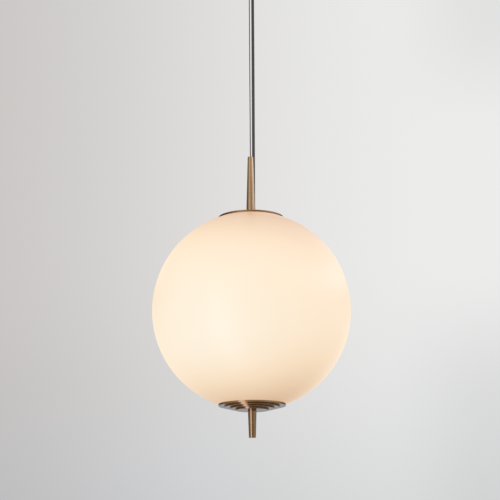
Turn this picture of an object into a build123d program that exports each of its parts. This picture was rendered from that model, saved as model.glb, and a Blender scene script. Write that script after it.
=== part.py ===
"""A globe pendant light, drawn as the pieces it is assembled from.

The origin is the middle of the ceiling rose on the ceiling plane. +Z points up and the front is -Y.
"""

import os
from math import cos, radians, sin, sqrt, tan

from build123d import *

os.makedirs("parts", exist_ok=True)

# Clearances
fit = 0.05
slip = 0.25
round_edge = 0.5

# Globe of blown opal glass with a flat ground lip round each opening
globe_diameter = 400.0
glass_wall = 3.0
lip_cover = 3.0

# Stepped plates, pressed brass of even thickness
plate_diameter = 134.0
plate_wall = 1.5
rim_height = 3.8
tier_rise = 2.85
tier_width = 11.2
tier_count = 4
gasket_width = 9.0

# Threaded tube through the globe, the turned stem above it and the finial below
tube_diameter = 10.0
tube_bore = 7.0
stem_length = 121.4
stem_foot_diameter = 18.4
stem_tip_diameter = 11.4
stem_head = 8.0
stem_thread = 20.0
stem_bore = 8.0
finial_length = 54.0
finial_root_diameter = 17.1
finial_tip_diameter = 13.8
finial_thread = 10.0
washer_diameter = 18.6
washer_thickness = 1.2
nut_flats = 14.0
nut_height = 5.0

# Suspension wire and power cord
wire_diameter = 2.0
wire_drop = 381.0
wire_stop_diameter = 5.2
wire_stop_length = 10.0
cord_diameter = 6.0
cord_side = 7.1
bush_flange_diameter = 11.0
bush_neck_diameter = 9.0
bush_lip_diameter = 10.4
bush_rise = 2.5
bush_tail = 4.0

# Ceiling rose, strap and hollow stud
rose_diameter = 120.0
rose_height = 36.0
rose_wall = 1.2
rose_round = 8.0
strap_length = 100.0
strap_width = 22.0
strap_thickness = 2.5
slot_spacing = 70.0
slot_length = 12.0
slot_width = 5.0
stud_depth = 9.0
stud_recess = 0.5

# Wire gripper: balls in a sprung nozzle, wedged by a cone in the body
gripper_diameter = 16.0
gripper_length = 26.0
gripper_guide = 2.0
chamber_diameter = 8.4
cone_length = 6.0
nozzle_diameter = 5.8
nozzle_reach = 7.0
nozzle_collar_diameter = 7.8
nozzle_collar_height = 2.0
mouth_depth = 4.0
mouth_angle = 17.0
ball_diameter = 2.5
spring_length = 5.0
spring_wire = 0.6
spring_pitch = 1.25
tail_bend = 8.0
tail_rise = 19.0
tail_reach = 22.0

# Strain relief of the cord, its cores and their terminals
grip_flange_diameter = 13.6
grip_flange_height = 3.0
grip_thread_diameter = 9.0
grip_thread_length = 8.0
grip_shoulder_diameter = 12.0
grip_tip_diameter = 10.4
grip_mouth_depth = 5.0
grip_gap = 0.4
grip_nut_flats = 13.0
grip_nut_height = 4.0
sheath_bare = 3.0
core_diameter = 2.2
core_bend = 4.0
core_gap = 0.6
pole_pitch = 9.0
pole_bore = 3.2
pole_entry = 8.0
block_length = 20.0
block_depth = 18.0
block_height = 14.0
block_standoff = 7.0
block_screw_diameter = 3.4
tongue_margin = 2.0
earth_screw_diameter = 4.0
earth_head_diameter = 7.6
earth_head_height = 2.4
earth_place = 24.0
tag_diameter = 8.0
tag_thickness = 0.8
tag_tongue_width = 3.0
tag_overhang = 1.5

# Lamp cluster: a lidded pan on the tube, two small screw lampholders and their lamps
lamp_offset = 30.0
lamp_azimuth = 233.0
pan_level = 62.0
pan_diameter = 96.0
pan_height = 20.0
pan_wall = 1.2
pan_round = 3.0
lid_thickness = 1.5
grommet_flange_diameter = 12.4
grommet_neck_diameter = 9.6
grommet_flange_height = 1.6
holder_diameter = 27.0
holder_length = 45.0
holder_shoulder_diameter = 20.0
holder_shoulder_height = 5.0
holder_ring_diameter = 29.0
holder_ring_level = 24.0
holder_ring_height = 3.0
holder_bore = 15.2
holder_bore_length = 29.0
holder_wire_bore = 4.4
holder_spigot = 9.0
contact_chamber_diameter = 10.0
contact_chamber_height = 4.0
contact_diameter = 5.0
contact_plate_diameter = 9.0
contact_plate_thickness = 1.0
contact_reach = 5.0
cap_diameter = 14.0
cap_length = 21.5
cap_socket = 8.5
cap_shoulder = 3.0
cap_tip_diameter = 5.0
cap_tip_height = 3.0
bulb_diameter = 45.0
bulb_collar_diameter = 18.0
bulb_flare = 35.0
bulb_wall = 1.0
bulb_gap = 0.5

# Radii and levels that follow from these
globe_radius = globe_diameter / 2
plate_radius = plate_diameter / 2
tube_radius = tube_diameter / 2
wire_radius = wire_diameter / 2
cord_radius = cord_diameter / 2
core_radius = core_diameter / 2
lip_radius = plate_radius - lip_cover
lip_level = sqrt(globe_radius**2 - lip_radius**2)
inner_lip_radius = sqrt((globe_radius - glass_wall) ** 2 - lip_level**2)
rim_level = sqrt(globe_radius**2 - (plate_radius - plate_wall) ** 2) + slip
plate_height = rim_height + (tier_count - 1) * tier_rise
face_level = rim_level + plate_height

rose_floor = -rose_height
gripper_foot = rose_floor - gripper_length
nozzle_tip = gripper_foot - nozzle_reach
swing_level = nozzle_tip + mouth_depth
stem_tip = swing_level - wire_drop
stem_foot = stem_tip - stem_length
globe_middle = stem_foot - face_level
finial_root = globe_middle - face_level

cord_distance = (gripper_diameter + grip_flange_diameter) / 2 + grip_gap
cord_back = sqrt(cord_distance**2 - cord_side**2)


def upright(x, y, z):
    """The section plane through an upright axis: its x is the radius and its y the height above z."""
    return Plane((x, y, z), x_dir=(1, 0, 0), z_dir=(0, -1, 0))


def turned(outline, x=0.0, y=0.0, z=0.0):
    """A piece turned about the upright axis through (x, y), from half its section."""
    with BuildPart() as blank:
        with BuildSketch(upright(x, y, z)):
            with BuildLine():
                Polyline(*outline, close=True)
            make_face()
        revolve(axis=Axis((x, y, z), (0, 0, 1)))
    return blank.part


def ring(outer, inner, height, foot):
    """A flat ring on the lamp's axis, its underside at foot."""
    with BuildPart() as flat:
        with BuildSketch(Plane.XY.offset(foot)):
            Circle(outer)
            Circle(inner, mode=Mode.SUBTRACT)
        extrude(amount=height)
    return flat.part


def hex_nut(flats, height, bore, spots):
    """Equal hexagon nuts, one standing on each spot."""
    with BuildPart() as nuts:
        with Locations(*spots):
            Cylinder(flats / sqrt(3), height, align=(Align.CENTER, Align.CENTER, Align.MIN))
        chamfer(nuts.edges().filter_by(GeomType.CIRCLE), height / 10)
        for x, y, foot in spots:
            with BuildSketch(Plane((x, y, foot))):
                Circle(flats)
                RegularPolygon(flats / 2, 6, major_radius=False, mode=Mode.SUBTRACT)
            extrude(amount=height, mode=Mode.SUBTRACT)
            with BuildSketch(Plane((x, y, foot))):
                Circle(bore)
            extrude(amount=height, mode=Mode.SUBTRACT)
    return nuts.part


def lead(points, bends, radius):
    """A round wire along straight runs joined by tangent bends."""
    with BuildPart() as run:
        with BuildLine() as route:
            FilletPolyline(*points, radius=bends)
        with BuildSketch(Plane(origin=route.line @ 0, z_dir=route.line % 0)):
            Circle(radius)
        sweep()
    return run.part


# Ceiling strap with two screw slots, a tapped middle and a tongue for the terminal block
pole_near = tube_radius + core_radius + core_gap
pole_far = pole_near + pole_pitch
block_middle = (pole_near + pole_far) / 2
block_front = -strap_width / 2 - block_standoff
tongue_length = block_standoff + block_depth + tongue_margin
with BuildPart() as ceiling_bracket:
    with BuildSketch(Plane.XY.offset(-strap_thickness)):
        Rectangle(strap_length, strap_width)
        with Locations((block_middle, -(strap_width + tongue_length) / 2)):
            Rectangle(block_length, tongue_length)
        with Locations((-slot_spacing / 2, 0), (slot_spacing / 2, 0)):
            SlotOverall(slot_length, slot_width, mode=Mode.SUBTRACT)
        Circle(tube_radius + fit, mode=Mode.SUBTRACT)
        with Locations((earth_place, 0)):
            Circle(earth_screw_diameter / 2 + fit, mode=Mode.SUBTRACT)
    extrude(amount=strap_thickness)
    corners = ceiling_bracket.edges().filter_by(Axis.Z)
    ends = corners.group_by(Axis.X)[0] + corners.group_by(Axis.X)[-1] + corners.group_by(Axis.Y)[0]
    fillet(ends, tongue_margin)
ceiling_bracket.part.label = "ceiling_bracket"
export_step(ceiling_bracket.part, "parts/ceiling_bracket.step")

# Hollow threaded stud from the strap through the rose into the gripper, slotted for the wire's tail
stud_foot = rose_floor - stud_depth
wire_room = wire_diameter
tail_level = -tail_rise
with BuildPart() as hanger_stud:
    with BuildSketch(Plane.XY.offset(stud_foot)):
        Circle(tube_radius)
        Circle(wire_room, mode=Mode.SUBTRACT)
    extrude(amount=-stud_recess - stud_foot)
    with BuildSketch(Plane.XZ):
        with Locations((0, tail_level - tail_bend - wire_room)):
            Rectangle(tube_diameter, tail_bend + 2 * wire_room, align=(Align.MAX, Align.MIN))
    extrude(amount=wire_room, both=True, mode=Mode.SUBTRACT)
hanger_stud.part.label = "hanger_stud"
export_step(hanger_stud.part, "parts/hanger_stud.step")

stud_nut = hex_nut(nut_flats, nut_height, tube_radius + fit, [(0, 0, -strap_thickness - nut_height)])
stud_nut.label = "stud_nut"
export_step(stud_nut, "parts/stud_nut.step")

# Spun rose, a cup with a rounded floor that the gripper holds up to the ceiling
with BuildPart() as ceiling_rose:
    Cylinder(rose_diameter / 2, rose_height, align=(Align.CENTER, Align.CENTER, Align.MAX))
    fillet(ceiling_rose.edges().filter_by(GeomType.CIRCLE).sort_by(Axis.Z)[0], rose_round)
    offset(amount=-rose_wall, openings=ceiling_rose.faces().sort_by(Axis.Z)[-1])
    with Locations((0, 0, rose_floor)):
        Cylinder(tube_radius + slip, 3 * rose_wall, mode=Mode.SUBTRACT)
    with Locations((cord_side, cord_back, rose_floor)):
        Cylinder(grip_thread_diameter / 2 + fit, 3 * rose_wall, mode=Mode.SUBTRACT)
ceiling_rose.part.label = "ceiling_rose"
export_step(ceiling_rose.part, "parts/ceiling_rose.step")

# Gripper body, tapped for the stud, with the wedging cone below its spring chamber
chamber_radius = chamber_diameter / 2
nozzle_radius = nozzle_diameter / 2
guide_radius = nozzle_radius + fit
cone_foot = gripper_foot + gripper_guide
with BuildPart() as gripper_body:
    with BuildSketch(upright(0, 0, 0)):
        with BuildLine():
            Polyline(
                (tube_radius + fit, rose_floor),
                (gripper_diameter / 2, rose_floor),
                (gripper_diameter / 2, gripper_foot),
                (guide_radius, gripper_foot),
                (guide_radius, cone_foot),
                (chamber_radius, cone_foot + cone_length),
                (chamber_radius, stud_foot),
                (tube_radius + fit, stud_foot),
                close=True,
            )
        make_face()
    revolve(axis=Axis.Z)
    foot_edges = gripper_body.edges().filter_by(GeomType.CIRCLE).group_by(Axis.Z)[0]
    chamfer(foot_edges.sort_by(SortBy.RADIUS)[-1], 2 * round_edge)
gripper_body.part.label = "gripper_body"
export_step(gripper_body.part, "parts/gripper_body.step")

# Release nozzle: the ball cage, its spring collar and a flared mouth for the wire
ball_radius = ball_diameter / 2
ball_orbit = wire_radius + fit + ball_radius
cone_slope = (chamber_radius - guide_radius) / cone_length
ball_wall = ball_orbit + (ball_radius + fit) * sqrt(1 + cone_slope**2)
ball_level = cone_foot + (ball_wall - guide_radius) / cone_slope
collar_top = stud_foot - spring_length
nozzle_bore = wire_radius + slip
mouth_radius = nozzle_bore + mouth_depth * tan(radians(mouth_angle))
with BuildPart() as gripper_nozzle:
    with BuildSketch(upright(0, 0, 0)):
        with BuildLine():
            Polyline(
                (nozzle_bore, collar_top),
                (nozzle_collar_diameter / 2, collar_top),
                (nozzle_collar_diameter / 2, collar_top - nozzle_collar_height),
                (nozzle_radius, collar_top - nozzle_collar_height),
                (nozzle_radius, nozzle_tip),
                (mouth_radius, nozzle_tip),
                (nozzle_bore, swing_level),
                close=True,
            )
        make_face()
    revolve(axis=Axis.Z)
    with Locations((0, 0, ball_level)):
        with PolarLocations(0, 3):
            Cylinder(
                ball_radius + fit,
                nozzle_diameter,
                rotation=(0, 90, 0),
                align=(Align.CENTER, Align.CENTER, Align.MIN),
                mode=Mode.SUBTRACT,
            )
gripper_nozzle.part.label = "gripper_nozzle"
export_step(gripper_nozzle.part, "parts/gripper_nozzle.step")

with BuildPart(Plane.XY.offset(ball_level)) as gripper_balls:
    with PolarLocations(ball_orbit, 3):
        Sphere(ball_radius)
gripper_balls.part.label = "gripper_balls"
export_step(gripper_balls.part, "parts/gripper_balls.step")

# Spring that presses the nozzle down
spring_radius = chamber_radius - slip - spring_wire
with BuildPart() as gripper_spring:
    with BuildLine(Plane.XY.offset(collar_top + spring_wire / 2)) as coil:
        Helix(spring_pitch, spring_length - spring_wire, spring_radius)
    with BuildSketch(Plane(origin=coil.line @ 0, z_dir=coil.line % 0)):
        Circle(spring_wire / 2)
    sweep(is_frenet=True)
gripper_spring.part.label = "gripper_spring"
export_step(gripper_spring.part, "parts/gripper_spring.step")

# Wire past the gripper, led out of the stud's slot
wire_tail = lead(
    [(0, 0, swing_level + wire_radius + fit), (0, 0, tail_level), (-tail_reach, 0, tail_level)],
    tail_bend,
    wire_radius,
)
wire_tail.label = "wire_tail"
export_step(wire_tail, "parts/wire_tail.step")

# Tapered strain relief with a bell mouth, its nut inside the rose and the sheath's end in it
grip_bore = cord_radius + 2 * fit
grip_top = rose_floor + grip_thread_length
grip_tip = swing_level - grip_mouth_depth
grip_mouth = grip_bore + grip_mouth_depth * tan(radians(mouth_angle))
with BuildPart() as cord_grip:
    with BuildSketch(upright(cord_side, cord_back, 0)):
        with BuildLine():
            Polyline(
                (grip_bore, grip_top),
                (grip_thread_diameter / 2, grip_top),
                (grip_thread_diameter / 2, rose_floor),
                (grip_flange_diameter / 2, rose_floor),
                (grip_flange_diameter / 2, rose_floor - grip_flange_height),
                (grip_shoulder_diameter / 2, rose_floor - grip_flange_height),
                (grip_tip_diameter / 2, grip_tip),
                (grip_mouth, grip_tip),
                (grip_bore, swing_level),
                close=True,
            )
        make_face()
    revolve(axis=Axis((cord_side, cord_back, 0), (0, 0, 1)))
cord_grip.part.label = "cord_grip"
export_step(cord_grip.part, "parts/cord_grip.step")

grip_nut = hex_nut(
    grip_nut_flats,
    grip_nut_height,
    grip_thread_diameter / 2 + fit,
    [(cord_side, cord_back, rose_floor + rose_wall)],
)
grip_nut.label = "grip_nut"
export_step(grip_nut, "parts/grip_nut.step")

sheath_top = grip_top + sheath_bare
sheath_foot = swing_level + cord_radius + slip
with BuildPart(Plane((cord_side, cord_back, sheath_foot))) as cord_end:
    Cylinder(cord_radius, sheath_top - sheath_foot, align=(Align.CENTER, Align.CENTER, Align.MIN))
cord_end.part.label = "cord_end"
export_step(cord_end.part, "parts/cord_end.step")

# Two-pole terminal block under the tongue, with its clamping screws
pole_level = -strap_thickness - block_height / 2
screw_rows = (block_front - pole_entry / 2, block_front - block_depth + pole_entry / 2)
screw_spots = [(x, y) for x in (pole_near, pole_far) for y in screw_rows]
block_foot = -strap_thickness - block_height
with BuildPart() as terminal_block:
    with BuildSketch(Plane.XY.offset(block_foot)):
        with Locations((block_middle, block_front)):
            Rectangle(block_length, block_depth, align=(Align.CENTER, Align.MAX))
    extrude(amount=block_height)
    with BuildSketch(Plane((0, block_front, 0), x_dir=(1, 0, 0), z_dir=(0, -1, 0))):
        with Locations((pole_near, pole_level), (pole_far, pole_level)):
            Circle(pole_bore / 2)
    extrude(amount=block_depth, mode=Mode.SUBTRACT)
    with BuildSketch(Plane.XY.offset(block_foot)):
        with Locations(*screw_spots):
            Circle(block_screw_diameter / 2 + fit)
    extrude(amount=block_height / 2, mode=Mode.SUBTRACT)
terminal_block.part.label = "terminal_block"
export_step(terminal_block.part, "parts/terminal_block.step")

with BuildPart() as terminal_screws:
    with BuildSketch(Plane.XY.offset(block_foot)):
        with Locations(*screw_spots):
            Circle(block_screw_diameter / 2)
    extrude(amount=(block_height - pole_bore) / 2)
terminal_screws.part.label = "terminal_screws"
export_step(terminal_screws.part, "parts/terminal_screws.step")

# Earth tag screwed to the strap, its tongue reaching past the strap's edge
tag_level = -strap_thickness - tag_thickness
tag_end = strap_width / 2 + tag_overhang
with BuildPart() as earth_tag:
    with BuildSketch(Plane.XY.offset(tag_level)):
        with Locations((earth_place, 0)):
            Circle(tag_diameter / 2)
            Rectangle(tag_tongue_width, tag_end, align=(Align.CENTER, Align.MIN))
            Circle(earth_screw_diameter / 2 + fit, mode=Mode.SUBTRACT)
    extrude(amount=tag_thickness)
earth_tag.part.label = "earth_tag"
export_step(earth_tag.part, "parts/earth_tag.step")

with BuildPart(Plane((earth_place, 0, tag_level))) as earth_screw:
    Cylinder(earth_head_diameter / 2, earth_head_height, align=(Align.CENTER, Align.CENTER, Align.MAX))
    fillet(earth_screw.edges().sort_by(Axis.Z)[0], round_edge)
    Cylinder(
        earth_screw_diameter / 2,
        tag_thickness + strap_thickness - stud_recess,
        align=(Align.CENTER, Align.CENTER, Align.MIN),
    )
earth_screw.part.label = "earth_screw"
export_step(earth_screw.part, "parts/earth_screw.step")

# The cord's three cores, from the sheath to their terminals
core_orbit = 2 * core_radius / sqrt(3) + fit / 2
core_half = core_orbit / 2
core_side = core_orbit * sqrt(3) / 2
pole_end = block_front - pole_entry
neutral_core = lead(
    [
        (cord_side - core_half, cord_back - core_side, sheath_top),
        (cord_side - core_half, cord_back - core_side, pole_level),
        (pole_near, pole_end, pole_level),
    ],
    core_bend,
    core_radius,
)
neutral_core.label = "neutral_core"
export_step(neutral_core, "parts/neutral_core.step")

live_core = lead(
    [
        (cord_side + core_orbit, cord_back, sheath_top),
        (cord_side + core_orbit, cord_back, (sheath_top + pole_level) / 2),
        (pole_far, cord_back - pole_pitch, pole_level),
        (pole_far, pole_end, pole_level),
    ],
    core_bend,
    core_radius,
)
live_core.label = "live_core"
export_step(live_core, "parts/live_core.step")

tag_middle = tag_level + tag_thickness / 2
earth_core = lead(
    [
        (cord_side - core_half, cord_back + core_side, sheath_top),
        (cord_side - core_half, cord_back + core_side, pole_level + core_diameter),
        (earth_place, cord_back + 5 * core_diameter, tag_middle),
        (earth_place, tag_end, tag_middle),
    ],
    core_bend,
    core_radius,
)
earth_core.label = "earth_core"
export_step(earth_core, "parts/earth_core.step")

# Suspension wire, its upper end rounded where it bends at the gripper's mouth
stop_top = stem_tip - stem_head
with BuildPart() as suspension_wire:
    with BuildSketch(upright(0, 0, 0)):
        with BuildLine():
            Polyline((0, swing_level), (0, stop_top), (wire_radius, stop_top), (wire_radius, swing_level))
            RadiusArc((wire_radius, swing_level), (0, swing_level + wire_radius), -wire_radius)
            Line((0, swing_level + wire_radius), (0, swing_level))
        make_face()
    revolve(axis=Axis.Z)
suspension_wire.part.label = "suspension_wire"
export_step(suspension_wire.part, "parts/suspension_wire.step")

with BuildPart(Plane.XY.offset(stop_top)) as wire_stop:
    Cylinder(wire_stop_diameter / 2, wire_stop_length, align=(Align.CENTER, Align.CENTER, Align.MAX))
    chamfer(wire_stop.edges().filter_by(GeomType.CIRCLE), round_edge)
wire_stop.part.label = "wire_stop"
export_step(wire_stop.part, "parts/wire_stop.step")

# Turned stem: a slim taper, drilled for the wire at its head and tapped for the tube at its foot
with BuildPart() as stem:
    with BuildSketch(upright(0, 0, stem_foot)):
        with BuildLine():
            Polyline(
                (tube_radius + fit, 0),
                (stem_foot_diameter / 2, 0),
                (stem_tip_diameter / 2, stem_length),
                (wire_radius + slip, stem_length),
                (wire_radius + slip, stem_length - stem_head),
                (stem_bore / 2, stem_length - stem_head),
                (stem_bore / 2, stem_thread),
                (tube_radius + fit, stem_thread),
                close=True,
            )
        make_face()
    revolve(axis=Axis.Z)
    rims = stem.edges().filter_by(GeomType.CIRCLE).group_by(Axis.Z)
    fillet(rims[-1].sort_by(SortBy.RADIUS)[-1], round_edge)
stem.part.label = "stem"
export_step(stem.part, "parts/stem.step")

# Power cord from the plate's bush up to the strain relief, its upper end rounded at the bell mouth
cord_joint = stem_foot - plate_wall / 2
with BuildPart() as power_cord:
    with BuildSketch(upright(cord_side, cord_back, 0)):
        with BuildLine():
            Polyline((0, swing_level), (0, cord_joint), (cord_radius, cord_joint), (cord_radius, swing_level))
            RadiusArc((cord_radius, swing_level), (0, swing_level + cord_radius), -cord_radius)
            Line((0, swing_level + cord_radius), (0, swing_level))
        make_face()
    revolve(axis=Axis((cord_side, cord_back, 0), (0, 0, 1)))
power_cord.part.label = "power_cord"
export_step(power_cord.part, "parts/power_cord.step")

# Snap bush in the top plate
cord_bush = turned(
    [
        (cord_radius + fit, bush_rise),
        (bush_neck_diameter / 2, bush_rise),
        (bush_flange_diameter / 2, bush_rise / 2),
        (bush_flange_diameter / 2, 0),
        (bush_neck_diameter / 2, 0),
        (bush_neck_diameter / 2, -plate_wall),
        (bush_lip_diameter / 2, -plate_wall),
        (bush_neck_diameter / 2, -bush_tail),
        (cord_radius + fit, -bush_tail),
    ],
    cord_side,
    cord_back,
    stem_foot,
)
cord_bush.label = "cord_bush"
export_step(cord_bush, "parts/cord_bush.step")


def stepped_plate(rim_plane):
    """A pressed plate of concentric tiers that rises from its rim, hollow beneath and bored for the tube."""
    base = (Align.CENTER, Align.CENTER, Align.MIN)
    tiers = [(plate_radius, rim_height)]
    for step in range(1, tier_count):
        tiers.append((plate_radius - step * tier_width, rim_height + step * tier_rise))
    with BuildPart(rim_plane) as plate:
        for radius, top in tiers:
            Cylinder(radius, top, align=base)
        crests = plate.edges().filter_by(GeomType.CIRCLE)
        for radius, top in tiers:
            same = crests.filter_by(lambda edge: abs(edge.radius - radius) < fit)
            fillet(same.sort_by(lambda edge: abs(edge.center().Z - rim_plane.origin.Z))[-1], round_edge)
        for radius, top in tiers:
            Cylinder(radius - plate_wall, top - plate_wall, align=base, mode=Mode.SUBTRACT)
        Cylinder(tube_radius + slip, plate_height, align=base, mode=Mode.SUBTRACT)
    return plate.part


# Top plate, pierced for the cord behind the stem
with BuildPart() as top_plate:
    add(stepped_plate(Plane((0, 0, globe_middle + rim_level))))
    with Locations((cord_side, cord_back, stem_foot)):
        Cylinder(bush_neck_diameter / 2 + fit, 3 * plate_wall, mode=Mode.SUBTRACT)
top_plate.part.label = "top_plate"
export_step(top_plate.part, "parts/top_plate.step")

# Globe: an even shell of glass, cut and ground flat at the top and the bottom
with BuildPart() as glass_globe:
    with BuildSketch(upright(0, 0, globe_middle)):
        with BuildLine():
            ThreePointArc((lip_radius, -lip_level), (globe_radius, 0), (lip_radius, lip_level))
            Line((lip_radius, lip_level), (inner_lip_radius, lip_level))
            ThreePointArc(
                (inner_lip_radius, lip_level),
                (globe_radius - glass_wall, 0),
                (inner_lip_radius, -lip_level),
            )
            Line((inner_lip_radius, -lip_level), (lip_radius, -lip_level))
        make_face()
    revolve(axis=Axis.Z)
glass_globe.part.label = "glass_globe"
export_step(glass_globe.part, "parts/glass_globe.step")

# Silicone rings between the plates' rims and the ground lips
gasket_outer = plate_radius - plate_wall - slip
gasket_room = rim_level + rim_height - plate_wall - lip_level
top_gasket = ring(
    gasket_outer,
    gasket_outer - gasket_width,
    gasket_room - fit,
    globe_middle + lip_level + fit,
)
top_gasket.label = "top_gasket"
export_step(top_gasket, "parts/top_gasket.step")

bottom_gasket = ring(
    gasket_outer,
    gasket_outer - gasket_width,
    gasket_room,
    globe_middle - lip_level - gasket_room,
)
bottom_gasket.label = "bottom_gasket"
export_step(bottom_gasket, "parts/bottom_gasket.step")

bottom_plate = stepped_plate(Plane((0, 0, globe_middle - rim_level), x_dir=(1, 0, 0), z_dir=(0, 0, -1)))
bottom_plate.label = "bottom_plate"
export_step(bottom_plate, "parts/bottom_plate.step")

# Turned finial, tapped for the tube's lower end
with BuildPart() as finial:
    with BuildSketch(upright(0, 0, finial_root)):
        with BuildLine():
            Polyline(
                (0, -finial_length),
                (finial_tip_diameter / 2, -finial_length),
                (finial_root_diameter / 2, 0),
                (tube_radius + fit, 0),
                (tube_radius + fit, -finial_thread - 2 * round_edge),
                (0, -finial_thread - 2 * round_edge),
                close=True,
            )
        make_face()
    revolve(axis=Axis.Z)
    fillet(finial.edges().filter_by(GeomType.CIRCLE).sort_by(Axis.Z)[0], round_edge)
finial.part.label = "finial"
export_step(finial.part, "parts/finial.step")

# Threaded tube from the stem to the finial, with the nut that clamps the top plate
tube_foot = finial_root - finial_thread
tube_top = stem_foot + stem_thread - round_edge
centre_tube = ring(tube_radius, tube_bore / 2, tube_top - tube_foot, tube_foot)
centre_tube.label = "centre_tube"
export_step(centre_tube, "parts/centre_tube.step")

washer_foot = stem_foot - plate_wall - washer_thickness
plate_washer = ring(washer_diameter / 2, tube_radius + slip, washer_thickness, washer_foot)
plate_washer.label = "plate_washer"
export_step(plate_washer, "parts/plate_washer.step")

plate_nut = hex_nut(nut_flats, nut_height, tube_radius + fit, [(0, 0, washer_foot - nut_height)])
plate_nut.label = "plate_nut"
export_step(plate_nut, "parts/plate_nut.step")

# Wiring pan of the lamp cluster, with its lid and the nuts that hold both on the tube
pan_floor = globe_middle + pan_level
lid_floor = pan_floor + pan_height
with BuildPart(Plane.XY.offset(pan_floor)) as cluster_pan:
    Cylinder(pan_diameter / 2, pan_height, align=(Align.CENTER, Align.CENTER, Align.MIN))
    fillet(cluster_pan.edges().filter_by(GeomType.CIRCLE).sort_by(Axis.Z)[0], pan_round)
    offset(amount=-pan_wall, openings=cluster_pan.faces().sort_by(Axis.Z)[-1])
    Cylinder(tube_radius + slip, 3 * pan_wall, mode=Mode.SUBTRACT)
    with PolarLocations(lamp_offset, 2, start_angle=lamp_azimuth):
        Cylinder(tube_radius + slip, 3 * pan_wall, mode=Mode.SUBTRACT)
cluster_pan.part.label = "cluster_pan"
export_step(cluster_pan.part, "parts/cluster_pan.step")

with BuildPart() as cluster_lid:
    with BuildSketch(Plane.XY.offset(lid_floor)):
        Circle(pan_diameter / 2)
        Circle(tube_radius + slip, mode=Mode.SUBTRACT)
        with Locations((cord_side, cord_back)):
            Circle(grommet_neck_diameter / 2 + fit, mode=Mode.SUBTRACT)
    extrude(amount=lid_thickness)
    fillet(cluster_lid.edges().filter_by(GeomType.CIRCLE).group_by(SortBy.RADIUS)[-1][-1], round_edge)
cluster_lid.part.label = "cluster_lid"
export_step(cluster_lid.part, "parts/cluster_lid.step")

cluster_nuts = hex_nut(
    nut_flats,
    nut_height,
    tube_radius + fit,
    [(0, 0, lid_floor + lid_thickness), (0, 0, pan_floor - nut_height)],
)
cluster_nuts.label = "cluster_nuts"
export_step(cluster_nuts, "parts/cluster_nuts.step")

lid_grommet = turned(
    [
        (cord_radius + fit, -grommet_flange_height),
        (grommet_flange_diameter / 2, -grommet_flange_height),
        (grommet_flange_diameter / 2, 0),
        (grommet_neck_diameter / 2, 0),
        (grommet_neck_diameter / 2, lid_thickness),
        (grommet_flange_diameter / 2, lid_thickness),
        (grommet_flange_diameter / 2, lid_thickness + grommet_flange_height),
        (cord_radius + fit, lid_thickness + grommet_flange_height),
    ],
    cord_side,
    cord_back,
    lid_floor,
)
lid_grommet.label = "lid_grommet"
export_step(lid_grommet, "parts/lid_grommet.step")

inner_end = lid_floor - 2 * grommet_flange_height
with BuildPart(Plane((cord_side, cord_back, inner_end))) as inner_cord:
    Cylinder(cord_radius, cord_joint - inner_end, align=(Align.CENTER, Align.CENTER, Align.MIN))
inner_cord.part.label = "inner_cord"
export_step(inner_cord.part, "parts/inner_cord.step")

# Lampholders hung through the pan's floor, their lamps screwed in from below
lamp_step_x = lamp_offset * cos(radians(lamp_azimuth))
lamp_step_y = lamp_offset * sin(radians(lamp_azimuth))
lamp_spots = {"front": (lamp_step_x, lamp_step_y), "rear": (-lamp_step_x, -lamp_step_y)}
bore_top = holder_bore_length - holder_length
chamber_top = bore_top + contact_chamber_height
ring_top = -holder_ring_level
tip_level = chamber_top - contact_reach
cap_shoulder_level = tip_level - cap_tip_height
cap_mouth = cap_shoulder_level - cap_length
socket_top = cap_mouth + cap_socket
neck_radius = cap_diameter / 2 - bulb_wall / 2 - fit
bulb_radius = bulb_diameter / 2
collar_radius = bulb_collar_diameter / 2
flare = radians(bulb_flare)
collar_level = min(-holder_length, cap_mouth) - bulb_gap
bulb_level = collar_level - (bulb_radius * cos(flare) - collar_radius) / tan(flare) - bulb_radius * sin(flare)
inner_bulb = bulb_radius - bulb_wall
inner_top = collar_level - bulb_wall
inner_tangent_x = inner_bulb * cos(flare)
inner_tangent_z = bulb_level + inner_bulb * sin(flare)
inner_collar = inner_tangent_x - (inner_top - inner_tangent_z) * tan(flare)
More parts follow.
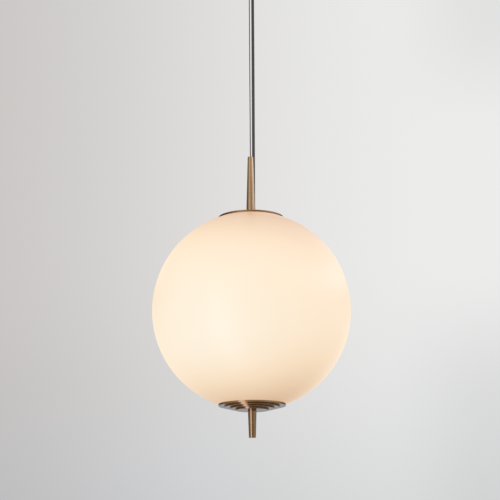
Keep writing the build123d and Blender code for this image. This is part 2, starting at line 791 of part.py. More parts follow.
for side, (lamp_x, lamp_y) in lamp_spots.items():
    lampholder = turned(
        [
            (holder_wire_bore / 2, holder_spigot),
            (tube_radius, holder_spigot),
            (tube_radius, 0),
            (holder_shoulder_diameter / 2, 0),
            (holder_diameter / 2, -holder_shoulder_height),
            (holder_diameter / 2, ring_top),
            (holder_ring_diameter / 2, ring_top),
            (holder_ring_diameter / 2, ring_top - holder_ring_height),
            (holder_diameter / 2, ring_top - holder_ring_height),
            (holder_diameter / 2, -holder_length),
            (holder_bore / 2, -holder_length),
            (holder_bore / 2, bore_top),
            (contact_chamber_diameter / 2, bore_top),
            (contact_chamber_diameter / 2, chamber_top),
            (holder_wire_bore / 2, chamber_top),
        ],
        lamp_x,
        lamp_y,
        pan_floor,
    )
    lampholder.label = f"lampholder_{side}"
    export_step(lampholder, f"parts/lampholder_{side}.step")

    lamp_cap = turned(
        [
            (0, tip_level),
            (cap_tip_diameter / 2, tip_level),
            (cap_tip_diameter / 2, cap_shoulder_level),
            (cap_diameter / 2, cap_shoulder_level - cap_shoulder),
            (cap_diameter / 2, cap_mouth),
            (neck_radius + fit, cap_mouth),
            (neck_radius + fit, socket_top),
            (0, socket_top),
        ],
        lamp_x,
        lamp_y,
        pan_floor,
    )
    lamp_cap.label = f"lamp_{side}_cap"
    export_step(lamp_cap, f"parts/lamp_{side}_cap.step")

    with BuildPart() as lamp_bulb:
        with BuildSketch(upright(lamp_x, lamp_y, pan_floor)):
            with BuildLine():
                Polyline(
                    (inner_tangent_x, inner_tangent_z),
                    (inner_collar, inner_top),
                    (neck_radius - bulb_wall, inner_top),
                    (neck_radius - bulb_wall, socket_top),
                    (neck_radius, socket_top),
                    (neck_radius, collar_level),
                    (collar_radius, collar_level),
                    (bulb_radius * cos(flare), bulb_level + bulb_radius * sin(flare)),
                )
                CenterArc((0, bulb_level), bulb_radius, -90, 90 + bulb_flare)
                Line((0, bulb_level - bulb_radius), (0, bulb_level - inner_bulb))
                CenterArc((0, bulb_level), inner_bulb, -90, 90 + bulb_flare)
            make_face()
        revolve(axis=Axis((lamp_x, lamp_y, pan_floor), (0, 0, 1)))
    lamp_bulb.part.label = f"lamp_{side}_bulb"
    export_step(lamp_bulb.part, f"parts/lamp_{side}_bulb.step")

holder_nuts = hex_nut(
    nut_flats,
    nut_height,
    tube_radius + fit,
    [(x, y, pan_floor + pan_wall) for x, y in lamp_spots.values()],
)
holder_nuts.label = "holder_nuts"
export_step(holder_nuts, "parts/holder_nuts.step")

with BuildPart(Plane.XY.offset(pan_floor + chamber_top)) as lamp_contacts:
    with Locations(*lamp_spots.values()):
        Cylinder(
            contact_plate_diameter / 2,
            contact_plate_thickness,
            align=(Align.CENTER, Align.CENTER, Align.MAX),
        )
        Cylinder(contact_diameter / 2, contact_reach, align=(Align.CENTER, Align.CENTER, Align.MAX))
lamp_contacts.part.label = "lamp_contacts"
export_step(lamp_contacts.part, "parts/lamp_contacts.step")
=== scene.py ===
"""A globe pendant light, dressed piece by piece in the order in which it is put together."""

from math import pi, radians

import bmesh
import bpy
from mathutils import Matrix, Vector


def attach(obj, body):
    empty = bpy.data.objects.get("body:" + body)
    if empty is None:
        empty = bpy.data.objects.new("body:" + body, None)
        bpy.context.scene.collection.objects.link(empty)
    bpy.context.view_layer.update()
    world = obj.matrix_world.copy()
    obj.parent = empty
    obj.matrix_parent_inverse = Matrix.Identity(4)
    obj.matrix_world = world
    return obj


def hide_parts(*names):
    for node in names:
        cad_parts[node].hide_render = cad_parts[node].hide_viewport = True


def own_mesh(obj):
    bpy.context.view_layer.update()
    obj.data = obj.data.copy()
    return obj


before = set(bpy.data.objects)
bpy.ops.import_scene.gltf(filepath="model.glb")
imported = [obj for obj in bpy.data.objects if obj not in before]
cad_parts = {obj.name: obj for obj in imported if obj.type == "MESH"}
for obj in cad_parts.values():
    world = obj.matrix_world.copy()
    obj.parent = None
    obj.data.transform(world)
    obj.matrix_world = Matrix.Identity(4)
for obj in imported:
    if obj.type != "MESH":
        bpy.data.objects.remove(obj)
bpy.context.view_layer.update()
scene = bpy.context.scene

# Ceiling strap, hollow stud and nuts.
# Cold-rolled steel, stamped or turned and then zinc plated, so it is grey with a faint cloudy spangle.
# The strap is screwed to the ceiling through its two slots and carries everything else on the stud.


class Value:
    """The output of a shader node, ready for plain arithmetic."""

    def __init__(self, shader, socket):
        self.shader = shader
        self.socket = socket

    def other(self, output):
        return Value(self.shader, self.socket.node.outputs[output])

    def maths(self, operation, first, second):
        return self.shader.node("ShaderNodeMath", {"operation": operation}, {0: first, 1: second})

    def __add__(self, other):
        return self.maths("ADD", self, other)

    def __sub__(self, other):
        return self.maths("SUBTRACT", self, other)

    def __rsub__(self, other):
        return self.maths("SUBTRACT", other, self)

    def __mul__(self, other):
        return self.maths("MULTIPLY", self, other)

    def __truediv__(self, other):
        return self.maths("DIVIDE", self, other)

    def __pow__(self, other):
        return self.maths("POWER", self, other)

    __radd__ = __add__
    __rmul__ = __mul__


class Shader:
    """A node tree that is filled one node at a time."""

    def __init__(self, tree):
        tree.nodes.clear()
        self.tree = tree

    def node(self, kind, settings=None, sockets=None, output=0):
        made = self.tree.nodes.new(kind)
        for name, value in (settings or {}).items():
            if name == "stops":
                elements = made.color_ramp.elements
                elements[0].position = value[0][0]
                elements[1].position = value[-1][0]
                for position, _ in value[1:-1]:
                    elements.new(position)
                for element, (_, colour) in zip(elements, value):
                    element.color = (*colour, 1.0)
            else:
                setattr(made, name, value)
        for name, value in (sockets or {}).items():
            if isinstance(value, Value):
                self.tree.links.new(value.socket, made.inputs[name])
            else:
                made.inputs[name].default_value = value
        return Value(self, made.outputs[output]) if len(made.outputs) else None

    def place(self, stretch=(1.0, 1.0, 1.0)):
        """The piece's own coordinates, in metres."""
        coordinates = self.node("ShaderNodeTexCoord", output="Object")
        return self.node("ShaderNodeMapping", None, {"Vector": coordinates, "Scale": stretch})

    def speckle(self, place, size, detail=2.0):
        """Soft noise whose patches are about size metres across."""
        sockets = {"Vector": place, "Scale": 1.0 / size, "Detail": detail}
        return self.node("ShaderNodeTexNoise", None, sockets, "Fac")

    def span(self, value, low, high):
        """A speckle's usual range, 0.3 to 0.7, spread from low to high."""
        sockets = {"Value": value, "From Min": 0.3, "From Max": 0.7, "To Min": low, "To Max": high}
        return self.node("ShaderNodeMapRange", None, sockets)

    def blend(self, share, first, second, how="MIX"):
        """Two colours mixed; they are inputs 6 and 7 of the Mix node, and the mix is its output 2."""
        sides = [colour if isinstance(colour, Value) else (*colour, 1.0) for colour in (first, second)]
        settings = {"data_type": "RGBA", "blend_type": how}
        return self.node("ShaderNodeMix", settings, {0: share, 6: sides[0], 7: sides[1]}, 2)

    def grain(self, height, depth):
        """A bump of that depth in metres."""
        return self.node("ShaderNodeBump", None, {"Height": height, "Strength": 1.0, "Distance": depth})

    def close(self, sockets):
        surface = self.node("ShaderNodeBsdfPrincipled", None, sockets)
        self.node("ShaderNodeOutputMaterial", None, {"Surface": surface})


def new_finish(name):
    material = bpy.data.materials.new(name)
    material.use_nodes = True
    return material, Shader(material.node_tree)


def dress(material, *nodes):
    for name in nodes:
        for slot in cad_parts[name].material_slots:
            slot.material = material


zinc_steel, zinc = new_finish("zinc_steel")
zinc_place = zinc.place()
spangle = zinc.span(zinc.speckle(zinc_place, 0.004), 0.0, 1.0)
zinc.close(
    {
        "Base Color": zinc.blend(spangle, (0.52, 0.53, 0.55), (0.66, 0.66, 0.65)),
        "Metallic": 1.0,
        "Roughness": zinc.span(zinc.speckle(zinc_place, 0.0015), 0.3, 0.42),
        "Normal": zinc.grain(zinc.speckle(zinc_place, 0.0004), 0.00001),
    }
)
dress(zinc_steel, "ceiling_bracket", "hanger_stud", "stud_nut", "earth_screw")

# Ceiling rose, gripper body and strain relief.
# Brass, spun or turned in the lathe and then aged to a satin bronze brown under clear lacquer.
# The gripper screws on to the stud and holds the rose up against the ceiling.

aged_brass, brass = new_finish("aged_brass")
brass_place = brass.place()
across = brass.node("ShaderNodeSeparateXYZ", None, {"Vector": brass_place})
radius = (across * across + across.other("Y") * across.other("Y")) ** 0.5
turning = brass.node("ShaderNodeCombineXYZ", None, {"X": radius, "Z": across.other("Z")})
tool_marks = brass.speckle(turning, 0.0006, 3.0)
ageing = brass.span(brass.speckle(brass_place, 0.022), 0.0, 1.0)
brass.close(
    {
        "Base Color": brass.blend(ageing, (0.56, 0.36, 0.195), (0.62, 0.405, 0.23)),
        "Metallic": 1.0,
        "Roughness": brass.span(tool_marks, 0.16, 0.2),
        "Normal": brass.grain(tool_marks, 0.0000004),
    }
)
dress(aged_brass, "ceiling_rose", "gripper_body", "cord_grip")

# Release nozzle, its balls and spring.
# The nozzle and the nuts are bright machined brass; the balls, spring and ferrule are hardened steel.
# The spring presses the nozzle down, so that the balls wedge on the wire.


def clouded_finish(name, cloud, darker, paler, fine, roughness, pores=None, fixed=None):
    """Soft clouds of two colours and finer changes of gloss; pores are a size and a depth."""
    material, shader = new_finish(name)
    place = shader.place()
    sockets = {
        "Base Color": shader.blend(shader.speckle(place, cloud), darker, paler),
        "Roughness": shader.span(shader.speckle(place, fine), *roughness),
    }
    if pores:
        pore_size, pore_depth = pores
        sockets["Normal"] = shader.grain(shader.speckle(place, pore_size), pore_depth)
    shader.close({**sockets, **(fixed or {})})
    return material


plain_brass = clouded_finish(
    "plain_brass",
    cloud=0.006,
    darker=(0.60, 0.43, 0.16),
    paler=(0.72, 0.54, 0.24),
    fine=0.001,
    roughness=(0.2, 0.3),
    fixed={"Metallic": 1.0},
)
dress(plain_brass, "gripper_nozzle", "grip_nut", "terminal_screws", "earth_tag", "lamp_contacts")

bright_steel = clouded_finish(
    "bright_steel",
    cloud=0.003,
    darker=(0.62, 0.62, 0.63),
    paler=(0.74, 0.74, 0.74),
    fine=0.0008,
    roughness=(0.16, 0.26),
    fixed={"Metallic": 1.0},
)
dress(bright_steel, "gripper_balls", "wire_stop")


def add_piece(name, shape, material):
    """An object of the finished bmesh, smooth shaded."""
    bmesh.ops.recalc_face_normals(shape, faces=shape.faces)
    mesh = bpy.data.meshes.new(name)
    shape.to_mesh(mesh)
    shape.free()
    mesh.shade_smooth()
    mesh.materials.append(material)
    piece = bpy.data.objects.new(name, mesh)
    scene.collection.objects.link(piece)
    return piece


coil_foot = -0.05
coil_head = -0.045
coil_radius = 0.00335
coil_wire = 0.0006
coil_pitch = 0.00125
coil_rise = coil_head - coil_foot - coil_wire
coil_turns = coil_rise / coil_pitch
coil_steps = 84
coil_start = Matrix.Translation((coil_radius, 0, coil_foot + coil_wire / 2))
coil = bmesh.new()
bmesh.ops.create_circle(
    coil,
    segments=10,
    radius=coil_wire / 2,
    matrix=coil_start @ Matrix.Rotation(pi / 2, 4, "X"),
)
bmesh.ops.spin(
    coil,
    geom=coil.verts[:] + coil.edges[:],
    cent=(0, 0, 0),
    axis=(0, 0, 1),
    dvec=(0, 0, coil_rise / coil_steps),
    angle=2 * pi * coil_turns,
    steps=coil_steps,
)
bmesh.ops.holes_fill(coil, edges=[edge for edge in coil.edges if edge.is_boundary], sides=0)
release_spring = add_piece("release_spring", coil, bright_steel)
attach(release_spring, "ceiling_fitting")
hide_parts("gripper_spring")
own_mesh(release_spring)

# Terminal block.
# Moulded white nylon with two brass poles, snapped on to the strap's tongue.

block_nylon = clouded_finish(
    "block_nylon",
    cloud=0.007,
    darker=(0.72, 0.71, 0.67),
    paler=(0.80, 0.79, 0.75),
    fine=0.0012,
    roughness=(0.42, 0.55),
    pores=(0.0003, 0.00001),
)
dress(block_nylon, "terminal_block")

# The cord's end in the strain relief and its three insulated cores.
# Extruded plastic over stranded copper: brown for live, blue for neutral, green and yellow for earth.
# The cores bend by hand to the terminal block and to the earth tag on the strap.

cord_width = 0.006
core_width = 0.0022
cord_spot = (0.0071, 0.01344)
sheath_top = -0.025
terminal_level = -0.0095
earth_tag_level = -0.0029


def flex(name, route, width, material):
    """A round flexible lead whose smooth line has the route's points as its control points."""
    line = bpy.data.curves.new(name, "CURVE")
    line.dimensions = "3D"
    spline = line.splines.new("NURBS")
    spline.points.add(len(route) - 1)
    for point, spot in zip(spline.points, route):
        point.co = (*spot, 1.0)
    spline.order_u = 3
    spline.use_endpoint_u = True
    spline.resolution_u = 24
    line.bevel_depth = width / 2
    line.bevel_resolution = 5
    line.use_fill_caps = True
    line.materials.append(material)
    piece = bpy.data.objects.new(name, line)
    scene.collection.objects.link(piece)
    return piece


cord_sheath, sheath = new_finish("cord_sheath")
sheath_cloud = sheath.speckle(sheath.place(), 0.012)
die_lines = sheath.speckle(sheath.place((1.0, 1.0, 0.02)), 0.0006)
sheath.close(
    {
        "Base Color": sheath.blend(sheath_cloud, (0.126, 0.113, 0.105), (0.160, 0.146, 0.137)),
        "Roughness": sheath.span(die_lines, 0.42, 0.55),
        "Specular IOR Level": 0.2,
        "Normal": sheath.grain(die_lines, 0.00001),
    }
)

core_colours = {
    "live": ((0.085, 0.035, 0.016), (0.10625, 0.04375, 0.02)),
    "neutral": ((0.012, 0.055, 0.26), (0.015, 0.06875, 0.325)),
    "earth": ((0.08, 0.24, 0.02), (0.62, 0.52, 0.03)),
}
stripe_rate = 1400.0
core_finish = {}
for core, (first_colour, second_colour) in core_colours.items():
    core_finish[core], plastic = new_finish(f"core_{core}")
    plastic_place = plastic.place()
    cloud = plastic.speckle(plastic_place, 0.004)
    share = cloud
    if core == "earth":
        sides = plastic.node("ShaderNodeSeparateXYZ", None, {"Vector": plastic_place})
        sweep = (sides + sides.other("Y")) * stripe_rate
        wave = plastic.node("ShaderNodeMath", {"operation": "SINE"}, {0: sweep})
        stripe_edge = {"Value": wave, "From Min": -0.1, "From Max": 0.1}
        share = plastic.node("ShaderNodeMapRange", None, stripe_edge)
    plastic.close(
        {
            "Base Color": plastic.blend(share, first_colour, second_colour),
            "Roughness": plastic.span(cloud, 0.36, 0.48),
        }
    )

sheath_end = flex(
    "sheath_end",
    [(*cord_spot, -0.06175), (*cord_spot, -0.05), (*cord_spot, -0.037), (*cord_spot, sheath_top)],
    cord_width,
    cord_sheath,
)
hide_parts("cord_end")

live_lead = flex(
    "live_lead",
    [
        (0.008395, 0.01344, sheath_top),
        (0.008395, 0.01344, -0.01725),
        (0.0157, 0.00444, terminal_level),
        (0.0157, -0.026, terminal_level),
    ],
    core_width,
    core_finish["live"],
)
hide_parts("live_core")

neutral_lead = flex(
    "neutral_lead",
    [
        (0.006452, 0.012318, sheath_top),
        (0.006452, 0.012318, terminal_level),
        (0.00655, -0.0032, terminal_level),
        (0.0067, -0.026, terminal_level),
    ],
    core_width,
    core_finish["neutral"],
)
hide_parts("neutral_core")

earth_lead = flex(
    "earth_lead",
    [
        (0.006452, 0.014562, sheath_top),
        (0.006452, 0.014562, -0.0073),
        (0.024, 0.02444, earth_tag_level),
        (0.024, 0.0125, earth_tag_level),
    ],
    core_width,
    core_finish["earth"],
)
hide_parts("earth_core")

for lead in (sheath_end, live_lead, neutral_lead, earth_lead):
    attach(lead, "ceiling_fitting")

# Suspension wire and its tail in the rose.
# Steel rope of six strands laid round a core, gripped above and ending in a ferrule in the stem.
# The pendant's weight keeps it taut; the spare end is led out of the stud's slot.

rope_width = 0.002
rope_foot = -0.454
rope_top = -0.0642

steel_wire = clouded_finish(
    "steel_wire",
    cloud=0.004,
    darker=(0.085, 0.076, 0.070),
    paler=(0.135, 0.123, 0.115),
    fine=0.0006,
    roughness=(0.34, 0.46),
    fixed={"Metallic": 1.0, "Specular Tint": (0.3, 0.3, 0.3, 1.0)},
)


def spline_points(route):
    """Points along the smooth line that has the route's points as its control points."""
    guide = flex("guide", route, 0.0, steel_wire)
    bpy.context.view_layer.update()
    mesh = bpy.data.meshes.new_from_object(guide.evaluated_get(bpy.context.evaluated_depsgraph_get()))
    points = [vertex.co.copy() for vertex in mesh.vertices]
    bpy.data.objects.remove(guide)
    return points


foot_hold = 0.017
top_hold = 0.009
rope_path = spline_points(
    [
        (0, 0, rope_foot),
        (0, 0, rope_foot + foot_hold),
        (0, 0, rope_top - top_hold),
        (0, 0, rope_top),
    ]
)
rope_run = rope_path[-1] - rope_path[0]
lay_count = 43
lay_rise = rope_run / lay_count
steps_in_lay = 12
strand_count = 6
strand_sides = 7
strand_width = rope_width / 3
strand_gap = 0.00001
lay_slope = Matrix.Rotation(-2 * pi * strand_width / lay_rise.length, 4, "X")
rope = bmesh.new()
for strand in range(strand_count):
    start = Matrix.Translation(rope_path[0]) @ Matrix.Rotation(2 * pi * strand / strand_count, 4, "Z")
    section = bmesh.ops.create_circle(
        rope,
        segments=strand_sides,
        radius=strand_width / 2,
        matrix=start @ Matrix.Translation((strand_width, 0, 0)) @ lay_slope,
    )
    section_edges = dict.fromkeys(edge for vertex in section["verts"] for edge in vertex.link_edges)
    bmesh.ops.spin(
        rope,
        geom=section["verts"] + list(section_edges),
        cent=rope_path[0],
        axis=(0, 0, 1),
        dvec=lay_rise / steps_in_lay,
        angle=2 * pi,
        steps=steps_in_lay,
    )
one_lay = rope.verts[:] + rope.edges[:] + rope.faces[:]
for lay in range(1, lay_count):
    repeat = bmesh.ops.duplicate(rope, geom=one_lay)["geom"]
    moved = [part for part in repeat if isinstance(part, bmesh.types.BMVert)]
    bmesh.ops.translate(rope, vec=lay_rise * lay, verts=moved)
bmesh.ops.remove_doubles(rope, verts=rope.verts, dist=strand_gap)
bmesh.ops.create_cone(
    rope,
    cap_ends=True,
    segments=strand_sides,
    radius1=strand_width / 2,
    radius2=strand_width / 2,
    depth=rope_run.length,
    matrix=Matrix.Translation((rope_path[0] + rope_path[-1]) / 2),
)
bmesh.ops.holes_fill(rope, edges=[edge for edge in rope.edges if edge.is_boundary], sides=0)
wire_rope = add_piece("wire_rope", rope, steel_wire)
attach(wire_rope, "pendant")
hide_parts("suspension_wire")

rope_tail = flex(
    "rope_tail",
    [(0, 0, -0.06395), (0, 0, -0.041), (0, 0, -0.019), (-0.022, 0, -0.019)],
    rope_width,
    steel_wire,
)
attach(rope_tail, "ceiling_fitting")
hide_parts("wire_tail")

# Stem.
# A slim taper turned from brass bar, drilled for the wire's ferrule and tapped for the threaded tube.

dress(aged_brass, "stem")

# Power cord, its bush in the top plate and the stretch inside the globe.
# Three cores in a round dark sheath; it hangs beside the wire and leans in to pass behind the stem.
# The bush is a black nylon snap-in, and a grommet of the same kind sits in the lid of the wiring pan.

bush_top = -0.5649
bush_hold = 0.002
cord_joint = -0.56815
cord_top = -0.0648
cord_x, cord_y = cord_spot
foot_lean, foot_lean_level = 0.0012, -0.5535
stem_lean, stem_lean_level = 0.0008, -0.5
plumb_level = -0.2
hanging_cord = flex(
    "hanging_cord",
    [
        (*cord_spot, cord_joint),
        (*cord_spot, bush_top + bush_hold),
        (cord_x - foot_lean, cord_y, foot_lean_level),
        (cord_x - stem_lean, cord_y, stem_lean_level),
        (*cord_spot, plumb_level),
        (*cord_spot, cord_top),
    ],
    cord_width,
    cord_sheath,
)
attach(hanging_cord, "pendant")
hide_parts("power_cord")

cord_in_globe = flex(
    "cord_in_globe",
    [(*cord_spot, -0.69017), (*cord_spot, -0.66), (*cord_spot, -0.6), (*cord_spot, cord_joint)],
    cord_width,
    cord_sheath,
)
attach(cord_in_globe, "pendant")
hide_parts("inner_cord")

black_nylon = clouded_finish(
    "black_nylon",
    cloud=0.004,
    darker=(0.016, 0.016, 0.016),
    paler=(0.03, 0.03, 0.03),
    fine=0.0008,
    roughness=(0.4, 0.52),
    pores=(0.0003, 0.00001),
)
dress(black_nylon, "cord_bush", "lid_grommet")

# Top and bottom plates with their gaskets.
# Pressed brass of four round tiers in the stem's finish; silicone rings keep them off the ground glass.
# The upper plate is clamped under the stem by a nut, the lower one is pulled up by the finial.

dress(aged_brass, "top_plate", "bottom_plate")

silicone = clouded_finish(
    "silicone",
    cloud=0.006,
    darker=(0.66, 0.66, 0.63),
    paler=(0.74, 0.74, 0.71),
    fine=0.001,
    roughness=(0.55, 0.7),
)
dress(silicone, "top_gasket", "bottom_gasket")
dress(zinc_steel, "centre_tube", "plate_washer", "plate_nut", "cluster_nuts", "holder_nuts")

# Lamp cluster.
# A white enamelled steel pan and lid on the tube, with two screw lampholders of pale moulded thermoset.
# Each holds a small round lamp: a rolled aluminium cap and an opal glass bulb.

white_enamel = clouded_finish(
    "white_enamel",
    cloud=0.02,
    darker=(0.74, 0.74, 0.72),
    paler=(0.80, 0.80, 0.78),
    fine=0.003,
    roughness=(0.2, 0.3),
    pores=(0.002, 0.00002),
)
dress(white_enamel, "cluster_pan", "cluster_lid")

holder_thermoset = clouded_finish(
    "holder_thermoset",
    cloud=0.01,
    darker=(0.70, 0.68, 0.62),
    paler=(0.78, 0.76, 0.70),
    fine=0.002,
    roughness=(0.25, 0.38),
)
dress(holder_thermoset, "lampholder_front", "lampholder_rear")

lamp_shell = clouded_finish(
    "lamp_shell",
    cloud=0.005,
    darker=(0.62, 0.62, 0.61),
    paler=(0.74, 0.74, 0.73),
    fine=0.001,
    roughness=(0.25, 0.36),
    fixed={"Metallic": 1.0},
)
dress(lamp_shell, "lamp_front_cap", "lamp_rear_cap")

lamp_glass, bulb = new_finish("lamp_glass")
bulb_place = bulb.place()
bulb_cloud = bulb.speckle(bulb_place, 0.02)
bulb.close(
    {
        "Base Color": (0.8, 0.78, 0.74, 1.0),
        "Roughness": bulb.span(bulb.speckle(bulb_place, 0.002), 0.2, 0.3),
        "Emission Color": bulb.blend(bulb_cloud, (1.0, 0.80, 0.52), (1.0, 0.84, 0.58)),
        "Emission Strength": 1.2,
    }
)
dress(lamp_glass, "lamp_front_bulb", "lamp_rear_bulb")

# Glass globe.
# Blown opal glass with an etched satin skin, ground flat round its two openings, lit from inside.
# Its glow is painted light in the emission colour, standing in for the lamps' light through the glass:
# brightest near the lamps, in front on the left and behind on the right, with painted shade towards the
# poles.

globe_middle = -0.76897
globe_radius = 0.2
lamp_side = (-0.5, -0.866)
lamp_softness = 0.02
belt_glow, upward_loss, lamp_gain = 0.657, 0.074, 0.068
pole_loss, top_loss, late_loss, lamp_spared = 0.332, 0.055, 0.203, 0.359
glow_cloud_size = 0.03
glow_cloud_contrast = 0.012
# Colours of the painted glow, from its dimmest to its brightest.
glow_colours = [
    (0.30, (0.530, 0.30, 0.140)),
    (0.36, (0.585, 0.36, 0.189)),
    (0.44, (0.652, 0.44, 0.260)),
    (0.52, (0.725, 0.52, 0.322)),
    (0.60, (0.796, 0.60, 0.399)),
    (0.68, (0.840, 0.68, 0.486)),
    (0.76, (0.855, 0.76, 0.606)),
]
opal_glass, opal = new_finish("opal_glass")
opal_place = opal.place()
from_middle = opal.node(
    "ShaderNodeMapping",
    None,
    {
        "Vector": opal.node("ShaderNodeTexCoord", output="Object"),
        "Location": (0.0, 0.0, -globe_middle / globe_radius),
        "Scale": (1.0 / globe_radius,) * 3,
    },
)
opal_x = opal.node("ShaderNodeSeparateXYZ", None, {"Vector": from_middle})
height = opal_x.other("Z")
squared = height * height
towards = opal_x * lamp_side[0] + opal_x.other("Y") * lamp_side[1]
near_lamp = opal.node("ShaderNodeMath", {"operation": "SQRT"}, {0: towards * towards + lamp_softness})
# Painted light: this glow in the emission colour stands in for the lamps' light, and the falloff is
# painted shade towards both poles.
falloff = pole_loss + top_loss * height + late_loss * squared - lamp_spared * near_lamp
glow = belt_glow - upward_loss * height + lamp_gain * near_lamp * near_lamp - falloff * squared
# Soft clouds in the painted glow.
glow_clouds = opal.speckle(opal_place, glow_cloud_size, 3.0)
glow = glow + (glow_clouds - 0.5) * glow_cloud_contrast
opal.close(
    {
        "Base Color": (0.3, 0.3, 0.3, 1.0),
        "Roughness": opal.span(opal.speckle(opal_place, 0.0006), 0.32, 0.4),
        "Emission Color": opal.node("ShaderNodeValToRGB", {"stops": glow_colours}, {"Fac": glow}),
        "Emission Strength": 1.0,
    }
)
dress(opal_glass, "glass_globe")

# Finial.
# A tapered brass rod that screws on to the tube's lower end and pulls the lower plate up to the glass.

dress(aged_brass, "finial")

# Studio: a pale floor far below, a pale wall that is brighter on the right, and two soft lamps.
# The turned metal mirrors a dimmer room with a dark rail below eye level and a dark beam above it,
# a tall window to the left and a bright high corner to the right.

floor_level = -4.2
floor_reach = 80
floor_shape = bmesh.new()
bmesh.ops.create_grid(
    floor_shape,
    x_segments=1,
    y_segments=1,
    size=floor_reach,
    matrix=Matrix.Translation((0, 0, floor_level)),
)
floor_finish, floor_shader = new_finish("studio_floor")
looked_at = floor_shader.node("ShaderNodeLightPath", output="Is Camera Ray")
floor_shader.close(
    {
        "Base Color": (0.74, 0.75, 0.77, 1.0),
        "Roughness": 0.8,
        "Emission Color": floor_shader.blend(looked_at, (0.0, 0.0, 0.0), (0.28, 0.28, 0.285)),
        "Emission Strength": 1.0,
    }
)
studio_floor = add_piece("studio_floor", floor_shape, floor_finish)
studio_floor.visible_glossy = False


def soft_lamp(name, spot, aim, width, height, power):
    """A soft rectangular lamp at spot that faces aim."""
    light = bpy.data.lights.new(name, "AREA")
    light.shape = "RECTANGLE"
    light.size = width
    light.size_y = height
    light.energy = power
    lamp = bpy.data.objects.new(name, light)
    lamp.location = spot
    lamp.rotation_mode = "QUATERNION"
    lamp.rotation_quaternion = (Vector(aim) - Vector(spot)).to_track_quat("-Z", "Y")
    lamp.visible_glossy = False
    scene.collection.objects.link(lamp)


lit_spot = (0, 0, -0.7)
soft_lamp("right_lamp", spot=(2.6, -0.3, 0.7), aim=lit_spot, width=1.6, height=1.6, power=5)
soft_lamp("left_lamp", spot=(-1.85, -2.36, -0.4), aim=lit_spot, width=0.8, height=1.6, power=4)

world = bpy.data.worlds.new("studio")
world.use_nodes = True
scene.world = world
surround = Shader(world.node_tree)
outlook = surround.node("ShaderNodeTexCoord", output="Generated")
side = surround.node("ShaderNodeSeparateXYZ", None, {"Vector": outlook})
depth = side.other("Y")
rise = side.other("Z")
turn = surround.node("ShaderNodeMath", {"operation": "ARCTAN2"}, {0: side, 1: 0 - depth})
bearing = turn * (180 / pi)


def ease(value, start, end):
    """A smooth step from 0 at start to 1 at end."""
    sockets = {"Value": value, "From Min": start, "From Max": end}
    return surround.node("ShaderNodeMapRange", {"interpolation_type": "SMOOTHSTEP"}, sockets)


def round_the_room(*colours):
    """Colours by bearing in degrees: 0 is straight in front, 90 to the right, -90 to the left."""
    stops = [((degrees + 180) / 360, colour) for degrees, colour in colours]
    return surround.node("ShaderNodeValToRGB", {"stops": stops}, {"Fac": bearing / 360 + 0.5})


wall_shade = surround.blend(ease(rise, -0.1, 0.24), (0.72, 0.74, 0.755), (1.0, 1.0, 1.0))
lit_right = ease(side, -0.27, 0.15)
lit_sides = ease(depth, 0.90, 0.75)
lit_part = surround.node("ShaderNodeMath", {"operation": "MAXIMUM"}, {0: lit_right, 1: lit_sides})
wall_colour = surround.blend(lit_part, (0.560, 0.535, 0.526), (0.84, 0.84, 0.835))
wall = surround.blend(1.0, wall_colour, wall_shade, "MULTIPLY")
straight_behind = ease(depth, 0.78, 0.90)
high_or_low = ease(rise, 0.30, 0.385) + ease(rise, 0.22, 0.125)
far_right = straight_behind * ease(side, 0.085, 0.165) * high_or_low
wall = surround.blend(far_right, wall, (0.905, 0.905, 0.905), "MULTIPLY")
low_left = straight_behind * ease(side, 0.03, -0.05) * ease(rise, 0.15, 0.07)
wall = surround.blend(low_left, wall, (1.02, 1.035, 1.055), "MULTIPLY")

below = round_the_room(
    (-180, (0.41, 0.47, 0.56)),
    (-150, (0.38, 0.43, 0.50)),
    (-110, (0.26, 0.25, 0.24)),
    (-40, (0.20, 0.17, 0.14)),
    (40, (0.17, 0.145, 0.12)),
    (110, (0.26, 0.25, 0.24)),
    (150, (0.38, 0.43, 0.50)),
    (180, (0.41, 0.47, 0.56)),
)
eye_level = round_the_room(
    (-180, (0.55, 0.56, 0.58)),
    (-140, (0.16, 0.14, 0.12)),
    (-100, (0.19, 0.16, 0.13)),
    (-66, (0.34, 0.28, 0.22)),
    (-20, (0.27, 0.21, 0.15)),
    (15, (0.20, 0.15, 0.10)),
    (40, (0.27, 0.23, 0.18)),
    (60, (0.30, 0.34, 0.38)),
    (100, (0.30, 0.34, 0.38)),
    (150, (0.30, 0.30, 0.30)),
    (180, (0.55, 0.56, 0.58)),
)
half_way = round_the_room(
    (-180, (0.45, 0.46, 0.48)),
    (-140, (0.07, 0.055, 0.045)),
    (-105, (0.26, 0.22, 0.185)),
    (-68, (0.47, 0.39, 0.32)),
    (-30, (0.46, 0.365, 0.275)),
    (10, (0.43, 0.335, 0.25)),
    (38, (0.46, 0.40, 0.40)),
    (60, (0.49, 0.47, 0.52)),
    (85, (0.52, 0.48, 0.48)),
    (105, (0.34, 0.34, 0.33)),
    (135, (0.10, 0.09, 0.085)),
    (180, (0.45, 0.46, 0.48)),
)
beam = round_the_room(
    (-180, (0.18, 0.184, 0.192)),
    (-140, (0.032, 0.024, 0.018)),
    (-90, (0.072, 0.056, 0.042)),
    (-30, (0.184, 0.146, 0.110)),
    (10, (0.172, 0.134, 0.100)),
    (60, (0.168, 0.136, 0.108)),
    (130, (0.044, 0.036, 0.030)),
    (180, (0.18, 0.184, 0.192)),
)
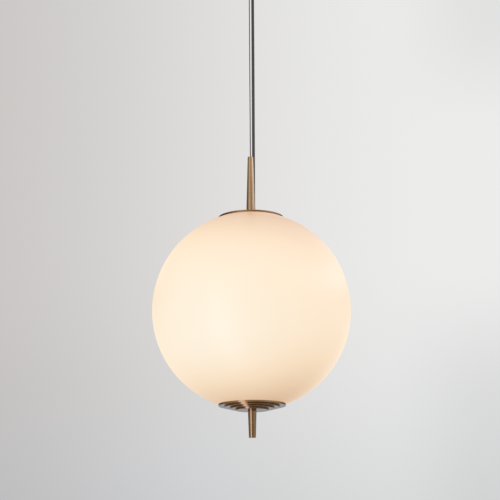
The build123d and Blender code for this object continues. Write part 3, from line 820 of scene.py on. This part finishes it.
overhead = round_the_room(
    (-180, (0.70, 0.72, 0.75)),
    (-130, (0.25, 0.24, 0.24)),
    (-90, (0.26, 0.26, 0.28)),
    (-52, (0.80, 0.84, 0.88)),
    (-22, (1.04, 1.06, 1.08)),
    (-4, (0.64, 0.58, 0.52)),
    (12, (0.41, 0.33, 0.24)),
    (28, (0.56, 0.56, 0.58)),
    (48, (0.84, 0.92, 1.04)),
    (85, (1.45, 1.66, 2.15)),
    (115, (1.52, 1.75, 2.35)),
    (150, (0.68, 0.71, 0.76)),
    (180, (0.70, 0.72, 0.75)),
)
ceiling = surround.blend(ease(side, -0.6, 0.6), (0.55, 0.54, 0.52), (1.05, 1.08, 1.18))
room = surround.blend(ease(rise, -0.75, -0.40), (0.030, 0.026, 0.023), below)
off_the_wall = ease(bearing, -160, -135) * ease(bearing, 160, 135)
rail = off_the_wall * ease(rise, -0.20, -0.16) * ease(rise, -0.085, -0.11)
room = surround.blend(rail, room, (0.02, 0.016, 0.012))
for start, end, band in (
    (-0.07, -0.01, eye_level),
    (0.07, 0.11, half_way),
    (0.17, 0.22, beam),
    (0.27, 0.31, overhead),
    (0.42, 0.60, ceiling),
):
    room = surround.blend(ease(rise, start, end), room, band)
window = ease(bearing, -51, -43) * ease(bearing, -20, -29) * ease(rise, 0.24, 0.17)
panes = surround.blend(ease(rise, 0.07, 0.11), (1.55, 1.64, 2.05), (1.04, 1.14, 1.52))
room = surround.blend(window, room, panes)

ray = surround.node("ShaderNodeLightPath", output="Is Camera Ray")
in_metal = ray.other("Is Glossy Ray")
seen = ray + in_metal + ray.other("Is Transmission Ray")
backdrop = surround.blend(in_metal, wall, room)
shown = surround.node("ShaderNodeBackground", None, {"Color": backdrop, "Strength": 1.0})
fill = surround.node("ShaderNodeBackground", None, {"Color": (1.0, 1.0, 1.0, 1.0), "Strength": 0.5})
mixed = surround.node("ShaderNodeMixShader", None, {0: seen, 1: fill, 2: shown})
surround.node("ShaderNodeOutputWorld", None, {"Surface": mixed})

scene.view_settings.view_transform = "Standard"

# Camera: 2.9 m from the globe's middle and 0.55 m below it, with a long lens.
# It is tilted up and rolled a little, as the photograph was taken.

tilt = 13.413
roll = -0.4
camera_data = bpy.data.cameras.new("camera")
camera_data.lens = 103.49
camera_data.sensor_width = 36.0
camera = bpy.data.objects.new("camera", camera_data)
camera.location = (-0.0022, -2.8467, -1.3223)
camera.rotation_mode = "ZXY"
camera.rotation_euler = (radians(90 + tilt), 0, radians(roll))
scene.collection.objects.link(camera)
scene.camera = camera
